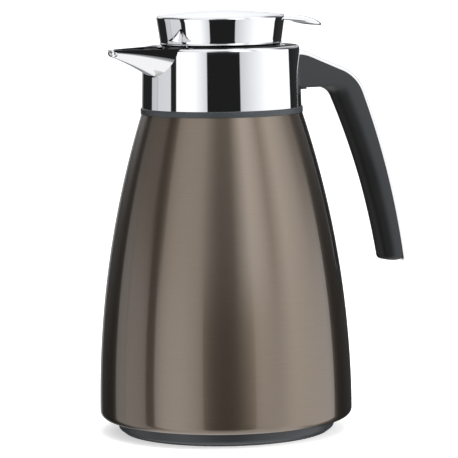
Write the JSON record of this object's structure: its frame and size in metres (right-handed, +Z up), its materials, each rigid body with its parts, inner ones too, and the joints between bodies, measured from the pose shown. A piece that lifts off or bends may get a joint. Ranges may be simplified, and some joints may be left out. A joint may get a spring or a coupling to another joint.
{
  "type": "vacuum jug",
  "caption": "Tapered vacuum jug with a double-walled glass flask, plated pouring collar and spout, open cantilever handle and a screw-in stopper lid with a thumb-lever valve.",
  "frame": {"origin": "centre of the resting plane under the foot ring, on the body's axis", "axes": "+Z up along the body's axis, +X towards the handle, -X towards the spout; the jug is symmetric across the XZ plane"},
  "size_m": [0.2008, 0.1516, 0.252],
  "materials": {
    "bronze_lacquer": "clear bronze lacquer over horizontally brushed steel, glossy",
    "plated": "bright chrome plating",
    "satin_metal": "fine satin, pale",
    "grey_plastic": "fine matt dark grey",
    "black_plastic": "soft matt black with a fine grain",
    "inner_plastic": "smooth black food-grade plastic",
    "flask_glass": "double-walled flask glass, silvered on its inner faces",
    "seal_rubber": "pale silicone",
    "foot_rubber": "black rubber",
    "cushion_rubber": "soft dark rubber",
    "pad_ceramic": "pressed mineral fibre pads",
    "steel": "plain stainless steel"
  },
  "bodies": {
    "jug": {"outer_shell": "bronze_lacquer", "base_carrier": "inner_plastic", "base_cap": "grey_plastic", "foot_ring": "foot_rubber", "flask_support": "cushion_rubber", "flask_outer_wall": "flask_glass", "flask_inner_wall": "flask_glass", "flask_spacer_pads": "pad_ceramic", "flask_gasket": "seal_rubber", "neck_ring": "grey_plastic", "collar": "plated", "collar_insert": "inner_plastic", "handle_spine": "plated", "handle_grip": "black_plastic", "handle_bracket": "steel", "handle_screws": "steel", "handle_inserts": "steel"},
    "seal_ring": {"stopper_seal": "seal_rubber"},
    "lid": {"stopper_body": "inner_plastic", "stopper_deck": "inner_plastic", "stem_seal": "seal_rubber", "stem_guide": "inner_plastic", "lid_shell": "plated", "lid_cover": "satin_metal", "lid_screws": "steel", "lever_pin": "steel", "valve_spring": "steel"},
    "thumb_lever": {"lever": "plated"},
    "valve": {"valve_seal": "seal_rubber", "valve_disc": "inner_plastic", "valve_stem": "steel"}
  },
  "joints": [
    {"name": "lid_rise", "type": "slide", "parent": "jug", "child": "seal_ring", "axis": [0, 0, 1], "range_m": [0, 0.006]},
    {"name": "lid_turn", "type": "hinge", "parent": "seal_ring", "child": "lid", "pos_m": [0, 0, 0.21], "axis": [0, 0, 1], "range_deg": [0, 120]},
    {"name": "lever_press", "type": "hinge", "parent": "lid", "child": "thumb_lever", "pos_m": [0.029, 0, 0.24], "axis": [0, 1, 0], "range_deg": [0, 10]},
    {"name": "valve_lift", "type": "slide", "parent": "lid", "child": "valve", "axis": [0, 0, 1], "range_m": [0, 0.005], "stiffness_N_per_m": 300, "springref_m": -0.006, "deforming": ["valve_spring"]}
  ],
  "couplings": [
    {"joint": "lid_rise", "follows": "lid_turn", "m_per_rad": 0.0028647},
    {"joint": "lever_press", "follows": "valve_lift", "rad_per_m": 34.906}
  ]
}
